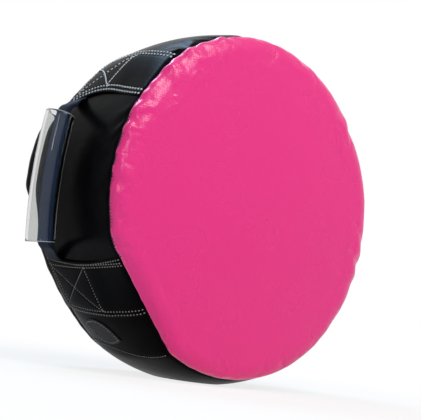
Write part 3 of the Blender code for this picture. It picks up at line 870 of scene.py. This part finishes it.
def make_band(side, level):
    """An open skin along a band's outer face, then thickened inwards."""
    depths = np.concatenate([[0.0008, 0.002, 0.004], np.linspace(0.006, 0.13, 84),
                             [0.132, 0.134, 0.1352]])[:, None]
    share = np.linspace(0.0, 1.0, 48)[None, :]
    margin = 0.75
    aways = towards(near_row(level, depths) - margin, far_row(level, depths) + margin, share)
    rolled = 0.0007 * (np.exp(-share / 0.02) + np.exp(-(1.0 - share) / 0.02))
    outer = on_shield(band_radius(side, level, aways, depths) - rolled,
                      band_angle(side, level, aways), depths)
    faces = ring_faces(*outer.shape[:2], open_columns=1)
    piece = new_object(f"{side}_{level}_reinforcement", outer.reshape(-1, 3), faces, BLACK)
    turn_outwards(piece)
    modifier = piece.modifiers.new("Thickness", "SOLIDIFY")
    modifier.thickness = BAND_THICKNESS
    modifier.offset = -1.0
    modifier.use_even_offset = True
    graph = bpy.context.evaluated_depsgraph_get()
    skin = piece.data
    piece.data = bpy.data.meshes.new_from_object(piece.evaluated_get(graph))
    piece.modifiers.clear()
    bpy.data.meshes.remove(skin)
    finish_piece(piece, "pad", (f"{level}_{side}_band",))


# Webbing


def tube_place(up):
    return TUBE_CENTRE_RADIUS - up ** 2 / (2 * TUBE_BOW_RADIUS)


def half_stations(side, level):
    """(outward, up, depth, width, thickness, share) from a tab nearly to the tube's middle.

    share says how far the webbing follows the wall's swell across its width.
    """
    stations = []
    mouth_at = STRAP_MOUTH[level]
    for away in np.linspace(TAB_END, mouth_at, 8):
        gathered = smooth_step((mouth_at + GATHER_SPAN - away) / GATHER_SPAN)
        depth = towards(TAB_DEPTH, MOUTH_DEPTH, gathered)
        width = towards(WEBBING_WIDTH, MOUTH_WIDTH, gathered)
        radius = float(tab_radius(side, level, away, depth))
        turn = math.radians(away)
        out, up = radius * math.cos(turn), radius * math.sin(turn)
        stations.append((out, up, depth, width, TAB_THICKNESS, 1.0))
    straight = STRAIGHT_REACH[level]
    mouth = np.array(stations[-1][:2])
    bend = np.array([tube_place(straight) - STRAP_OFFSET, straight])
    for share in (0.25, 0.5, 0.75, 0.93):
        out, up = towards(mouth, bend, share)
        depth = towards(MOUTH_DEPTH, HANDLE_DEPTH, smooth_step(share))
        width = towards(MOUTH_WIDTH, TUBE_MOUTH_WIDTH, share)
        thick = towards(TAB_THICKNESS, FOLDED_THICKNESS, share)
        stations.append((out, up, depth, width, thick, max(0.0, 1.0 - 2.0 * share)))
    for up in np.linspace(straight - 0.004, 0.0, 9)[:-1]:
        width = towards(FOLDED_WIDTH, TUBE_MOUTH_WIDTH, math.exp(-(straight - up) / 0.015))
        stations.append((tube_place(up) - STRAP_OFFSET, up, HANDLE_DEPTH, width, FOLDED_THICKNESS, 0.0))
    return stations


def strap_stations(side):
    """The same for all the webbing, from the lower tab up."""
    lower = [(out, -up, *rest) for out, up, *rest in half_stations(side, "lower")]
    middle = (tube_place(0.0) - STRAP_OFFSET, 0.0, HANDLE_DEPTH, FOLDED_WIDTH, FOLDED_THICKNESS, 0.0)
    return np.array(lower + [middle] + half_stations(side, "upper")[::-1])


def smooth_path(stations, spacing):
    """Resample stations along a Catmull-Rom curve."""
    padded = with_ends(stations)
    points = []
    for index in range(1, len(padded) - 2):
        before, start, end, after = padded[index - 1:index + 3]
        count = max(int(np.linalg.norm(end[:3] - start[:3]) / spacing), 1)
        for t in np.arange(count) / count:
            points.append(0.5 * (2 * start + (end - before) * t
                                 + (2 * before - 5 * start + 4 * end - after) * t ** 2
                                 + (3 * start - before - 3 * end + after) * t ** 3))
    points.append(padded[-2])
    return np.array(points)


def strap_section(width, thickness):
    """Points round one section of the webbing, (across, raised), notched between its layers."""
    half = thickness / 2
    notch = 0.0004
    across = np.linspace(-1.0, 1.0, 15) * (width / 2 - half)
    layers = max(round(thickness / WEBBING_THICKNESS), 1)
    top = [(value, half) for value in across]
    side = []
    for step in range(1, 12):
        turn = math.pi * step / 12
        gap = notch * (1.0 - abs(math.sin(layers * turn)) ** 0.5) if layers > 1 else 0.0
        side.append((width / 2 - half + half * math.sin(turn) - gap, half * math.cos(turn)))
    bottom = [(value, -half) for value in across[::-1]]
    other = [(-value, -height) for value, height in side]
    return np.array(top + side + bottom + other)


def make_strap(side):
    path = smooth_path(strap_stations(side), 0.0022)
    sections = []
    ways = np.gradient(path[:, :2], axis=0)
    for (out, up, depth, width, thickness, share), way in zip(path, ways):
        along = way / np.linalg.norm(way)
        section = strap_section(width, thickness)
        level = "upper" if up > 0.0 else "lower"
        away = math.degrees(math.atan2(abs(up), out))
        followed = tab_radius(side, level, away, depth + section[:, 0])
        raised = section[:, 1] + share * (followed - tab_radius(side, level, away, depth))
        x = SIDES[side] * (out + along[1] * raised)
        z = REST_RADIUS + up - along[0] * raised
        sections.append(np.stack([x, SEAM_Y + depth + section[:, 0], z], axis=-1))
    rings = np.array(sections)
    rows, columns = rings.shape[:2]
    piece = closed_object(f"{side}_webbing", rings.reshape(-1, 3), capped_faces(rows, columns), NAVY)
    lay_uv(piece.data, lengths_along(path[:, :3]), columns)
    nodes = [f"{side}_strap_grip"] + [f"{side}_strap_{level}_end" for level in LEVELS]
    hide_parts(*nodes)
    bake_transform(piece)


def lay_uv(mesh, along, columns):
    """A UV map in metres: across and along the webbing."""
    layer = mesh.uv_layers.new(name="strap")
    corners = np.empty(len(mesh.loops), dtype=np.int64)
    mesh.loops.foreach_get("vertex_index", corners)
    uv = np.stack([mesh_points(mesh)[corners, 1], along[corners // columns]], axis=-1)
    layer.uv.foreach_set("vector", uv.ravel())


# Tubes


TUBE_COLUMNS = 64


def tube_rings(side, outline):
    """Rings of points round the bowed tube, from (radius, height) pairs."""
    turns = np.radians(np.arange(TUBE_COLUMNS) * 360.0 / TUBE_COLUMNS)
    radius, height = np.array(outline).T[..., None]
    out = radius * np.cos(turns)
    x = SIDES[side] * (tube_place(TUBE_DROP) - height ** 2 / (2 * TUBE_BOW_RADIUS) + out)
    z = REST_RADIUS - TUBE_DROP + height + out * height / TUBE_BOW_RADIUS
    y = SEAM_Y + HANDLE_DEPTH + radius * np.sin(turns)
    return np.stack([x, y, z], axis=-1)


def make_tube(side):
    """A bowed clear tube with eased rims."""
    inner = TUBE_RADIUS - TUBE_WALL
    half = TUBE_LENGTH / 2
    heights = np.linspace(-half + 0.0012, half - 0.0012, 40)
    rim = [(TUBE_RADIUS - 0.0003, half - 0.0004), (TUBE_RADIUS - 0.001, half),
           (inner + 0.0008, half), (inner + 0.0002, half - 0.0004)]
    outline = [(TUBE_RADIUS, height) for height in heights] + rim
    outline += [(inner, height) for height in heights[::-1]]
    outline += [(radius, -height) for radius, height in rim[::-1]]
    faces = ring_faces(len(outline), TUBE_COLUMNS, closed=True)
    points = tube_rings(side, outline).reshape(-1, 3)
    piece = closed_object(f"{side}_clear_tube", points, faces, CLEAR)
    finish_piece(piece, f"{side}_tube", (f"{side}_grip_tube",))


def make_cut_ends(side):
    """The sawn ends of the tube, duller and whiter than its skin."""
    inner = TUBE_RADIUS - TUBE_WALL
    outline = ((TUBE_RADIUS - 0.0002, -0.0006), (TUBE_RADIUS - 0.0001, -0.0001),
               (TUBE_RADIUS - 0.0006, 0.0002), (inner + 0.0006, 0.0002),
               (inner + 0.0001, -0.0001), (inner + 0.0002, -0.0006))
    quads = ring_faces(len(outline), TUBE_COLUMNS, closed=True)
    points = []
    faces = []
    for end in (-1, 1):
        first = len(points) * len(outline) * TUBE_COLUMNS
        ring = [(radius, end * (TUBE_LENGTH / 2 + past)) for radius, past in outline]
        points.append(tube_rings(side, ring).reshape(-1, 3))
        faces += [tuple(first + corner for corner in quad[::end]) for quad in quads]
    piece = closed_object(f"{side}_cut_ends", np.concatenate(points), faces, CUT_ENDS)
    finish_piece(piece, f"{side}_tube")


# Patch


def patch_spot(long_way, short_way):
    """Angle and depth of a point on the patch, from its own long and short way."""
    tilt = math.radians(LABEL_TILT)
    depth = LABEL_DEPTH + long_way * math.cos(tilt) - short_way * math.sin(tilt)
    along = long_way * math.sin(tilt) + short_way * math.cos(tilt)
    return LABEL_ANGLE + np.degrees(along / SEAM_RADIUS), depth


def patch_edge(share, turns):
    """Points on the patch's outline, or on a smaller one inside it."""
    long_way = share * LABEL_LENGTH / 2 * np.cos(turns)
    short_way = share * LABEL_HEIGHT / 2 * np.sin(turns) * np.abs(np.sin(turns))
    return long_way, short_way


def make_patch():
    """The patch, with a groove where it is sewn and an eased edge."""
    turns = np.radians(np.arange(72) * 5.0)[None, :]
    shares = np.array([1.0, 0.985, 0.95, 0.9, 0.85, 0.8, 0.7, 0.5, 0.25])[:, None]
    angle, depth = patch_spot(*patch_edge(shares, turns))
    lift = SKIN_GAP + LABEL_THICKNESS - groove(shares - 0.87, 0.0003, 0.04)
    lift = lift - 0.0003 * (shares > 0.99)
    radius = wall_radius(angle, depth)
    low = on_shield(radius + SKIN_GAP, angle, depth)
    rings = np.concatenate([low[::-1], on_shield(radius + lift, angle, depth)])
    angle, depth = patch_spot(0.0, 0.0)
    middle = wall_radius(np.array(angle), np.array(depth)) + SKIN_GAP
    piece = lathe_object("bare_patch", rings, on_shield(middle, angle, depth),
                         on_shield(middle + LABEL_THICKNESS, angle, depth), BARE)
    finish_piece(piece, "pad", ("label_patch",))


# Threads


def stitch_template():
    """A low capsule along +X, 1 long and 1 thick, lying on its base."""
    points = []
    for x, size in ((-0.5, 0.15), (-0.36, 0.75), (0.0, 1.0), (0.36, 0.75), (0.5, 0.15)):
        for turn in np.radians(np.arange(6) * 60.0):
            points.append((x, 0.5 * size * math.cos(turn), 0.5 * size * math.sin(turn)))
    return np.array(points), capped_faces(5, 6)


STITCH_POINTS, STITCH_FACES = stitch_template()


def square_to(direction, way):
    """The unit direction square to a unit way that is nearest to the given one."""
    direction = direction - way * (direction @ way)
    return direction / np.linalg.norm(direction)


def place_stitch(centre, way, outward, length, thickness, height):
    """One stitch that runs along way and faces outward."""
    across = np.cross(outward, way)
    return (centre + STITCH_POINTS[:, 0:1] * length * way
            + STITCH_POINTS[:, 1:2] * thickness * across + STITCH_POINTS[:, 2:3] * height * outward)


def stitches_along(line, normals, pitch, length, thickness, sink):
    """Flattened stitches along a dense line of points, one each pitch."""
    height = 0.6 * thickness
    along = lengths_along(line)

    def spot(values, place):
        return np.array([np.interp(place, along, values[:, k]) for k in range(3)])

    stitches = []
    for middle in np.arange(pitch / 2, along[-1], pitch):
        way = spot(line, middle + length / 2) - spot(line, middle - length / 2)
        way = way / np.linalg.norm(way)
        normal = square_to(spot(normals, middle), way)
        centre = spot(line, middle) + normal * height * (0.5 - sink)
        stitches.append(place_stitch(centre, way, normal, length, thickness, height))
    return stitches


def join_stitches(name, stitches, material):
    faces = []
    for index in range(len(stitches)):
        first = index * len(STITCH_POINTS)
        faces += [tuple(first + corner for corner in face) for face in STITCH_FACES]
    piece = closed_object(name, np.concatenate(stitches), faces, material)
    finish_piece(piece, "pad")


def band_line(side, level, aways, depths):
    """A line of points on a band's outer face, and the normals there."""
    angle = band_angle(side, level, aways)
    line = on_shield(band_radius(side, level, aways, depths), angle, depths)
    return line, wall_frame(angle, depths)[1]


def make_band_threads(side, level):
    """The rows along a band's edges, and its crossed box."""
    stitches = []
    thick = ROW_THICKNESS[level]
    rows = [(row, ROW_END) for row in (near_row, near_inner_row, far_row, far_inner_row)]
    if level == "lower":
        rows.append((near_front_row, FRONT_ROW_END))
    for row, end in rows:
        depths = np.linspace(0.001, end, 220)
        line = band_line(side, level, row(level, depths), depths)
        stitches += stitches_along(*line, *ROW_STITCHES[level], thick, -0.1)
    share = np.linspace(0.0, 1.0, 120)
    for index, (start, end) in enumerate(box_lines(level)):
        aways = towards(start[0], end[0], share)
        if level == "upper" and index == 3:
            aways = aways + LAST_LINE_BEND * np.sin(math.pi * share)
        line = band_line(side, level, aways, towards(start[1], end[1], share))
        stitches += stitches_along(*line, *BOX_STITCHES[level][index], 0.8 * thick, -0.2)
    # The lower band's threads are a darker copy of the white thread, as painted shade
    material = WHITE_THREAD if level == "upper" else PAINTED_SHADE_THREAD
    join_stitches(f"{side}_{level}_threads", stitches, material)


def make_closing_threads():
    """Small stitches that close the face onto the wall by hand, on the left."""
    face_depth = np.array(-SHOULDER_LIP - 0.0012)
    wall_depth = np.array(0.0018)
    stitches = []
    for angle in np.arange(156.0, 206.0, 0.98):
        on_face = settled(np.array(SHOULDER_EDGE_RADIUS), angle, face_depth)
        on_wall = on_shield(wall_radius(angle, wall_depth), angle, wall_depth)
        length = np.linalg.norm(on_wall - on_face)
        way = (on_wall - on_face) / length
        turn = math.radians(angle)
        outward = square_to(np.array([math.cos(turn), 0.0, math.sin(turn)]), way)
        centre = (on_face + on_wall) / 2 + outward * 0.0002
        stitches.append(place_stitch(centre, way, outward, length, SMALL_THREAD, 0.001))
    join_stitches("closing_threads", stitches, BLACK_THREAD)


def make_panel_threads():
    """The faint single row where two lengths of the wall's vinyl are joined, in the white thread painted
    darker as painted shade.
    """
    depths = np.linspace(0.004, 0.132, 200)
    angles = 244.0 - 5.2 * smooth_step(depths / 0.11)
    stitches = stitches_along(*wall_frame(angles, depths), 0.0032, 0.0021, SMALL_THREAD, 0.0)
    join_stitches("panel_threads", stitches, PAINTED_SHADE_THREAD)


def make_patch_threads():
    turns = np.radians(np.linspace(0.0, 360.0, 300))
    line, normals = wall_frame(*patch_spot(*patch_edge(PATCH_ROW_SHARE, turns)))
    line = line + normals * (SKIN_GAP + LABEL_THICKNESS - 0.0001)
    stitches = stitches_along(line, normals, 0.003, 0.0018, SMALL_THREAD, 0.0)
    join_stitches("patch_threads", stitches, PATCH_THREAD)


# Camera, light and floor


def aim_from(thing, place, target, roll=0.0):
    thing.location = place
    look = (Vector(target) - thing.location).to_track_quat("-Z", "Y")
    thing.rotation_mode = "QUATERNION"
    thing.rotation_quaternion = look @ Quaternion((0.0, 0.0, 1.0), math.radians(roll))


def make_camera():
    data = bpy.data.cameras.new("camera")
    data.sensor_fit = "HORIZONTAL"
    data.sensor_width = SENSOR_WIDTH
    data.lens = CAMERA_FOCAL_PIXELS * SENSOR_WIDTH / PICTURE_WIDTH
    data.clip_start = 0.01
    camera = add_object("camera", data)
    turn = math.radians(CAMERA_TURN)
    rise = math.radians(CAMERA_RISE)
    away = Vector((math.sin(turn) * math.cos(rise), -math.cos(turn) * math.cos(rise), math.sin(rise)))
    aim_from(camera, Vector(on_axis(0.0)) + CAMERA_DISTANCE * away, CAMERA_AIM, CAMERA_ROLL)
    bpy.context.scene.camera = camera


def seen_share(owner):
    """1 for rays from the camera, a glossy surface or a clear one, and 0 for others."""
    path = add_node(owner, "ShaderNodeLightPath")
    seen = path.outputs["Is Camera Ray"]
    for name in ("Is Glossy Ray", "Is Transmission Ray"):
        seen = combine(owner, "MAXIMUM", seen, path.outputs[name])
    return seen


def mix_shaders(owner, share, first, second):
    return add_node(owner, "ShaderNodeMixShader", [(share, 0), (first, 1), (second, 2)]).outputs[0]


def set_world():
    """A soft fill for the object, with white behind it."""
    world = bpy.data.worlds.new("studio")
    bpy.context.scene.world = world
    world.use_nodes = True
    world.node_tree.nodes.clear()
    fill, white = (add_node(world, "ShaderNodeBackground", Color=(1.0, 1.0, 1.0, 1.0),
                            Strength=strength).outputs[0] for strength in (WORLD_FILL, 1.0))
    mixed = mix_shaders(world, seen_share(world), fill, white)
    add_node(world, "ShaderNodeOutputWorld", [(mixed, 0)])


def make_floor():
    """A pale floor that keeps the shadow and fades to white away from it."""
    material = new_material("white_floor", FLOOR_COLOUR, 0.9)
    reach = add_node(material, "ShaderNodeVectorMath", [(place_on(material), 0)],
                     operation="LENGTH").outputs["Value"]
    fade = ramp(material, reach, 0.2, 0.8, 0.8, 1.0, "LINEAR")
    share = combine(material, "MULTIPLY", seen_share(material), fade)
    white = add_node(material, "ShaderNodeEmission", Strength=1.0).outputs[0]
    mixed = mix_shaders(material, share, shader_of(material).outputs[0], white)
    tree = material.node_tree
    tree.links.new(mixed, tree.nodes["Material Output"].inputs[0])
    half = FLOOR_SIZE / 2
    points = [(-half, -half, 0.0), (half, -half, 0.0), (half, half, 0.0), (-half, half, 0.0)]
    new_object("floor", points, [(0, 1, 2, 3)], material, smooth=False)


def area_light(name, place, size, power, colour=(1.0, 1.0, 1.0)):
    data = bpy.data.lights.new(name, "AREA")
    data.shape = "RECTANGLE"
    data.size, data.size_y = size
    data.energy = power
    data.color = colour
    aim_from(add_object(name, data), place, (0.0, 0.0, REST_RADIUS))


def make_lights():
    """front is placed where the face's upper left shoulder mirrors it to the camera."""
    area_light("key", (-0.15, -1.0, 1.75), (0.8, 0.5), 12.0)
    area_light("front", (0.22, -1.5, 1.26), (0.8, 0.4), 9.3, (0.88, 0.94, 1.0))
    area_light("window", (-1.25, -1.8, 0.98), (0.12, 0.62), 5.0)
    area_light("sky", (-0.2, 0.85, 1.75), (1.1, 0.4), 20.0, (0.45, 0.7, 1.0))


bpy.context.scene.view_settings.view_transform = "Standard"
make_camera()
set_world()
make_floor()
make_lights()
make_face()
make_wall()
make_back()
for each_side in SIDES:
    for each_level in LEVELS:
        make_band(each_side, each_level)
        make_band_threads(each_side, each_level)
    make_strap(each_side)
    make_tube(each_side)
    make_cut_ends(each_side)
make_patch()
make_patch_threads()
make_panel_threads()
make_closing_threads()
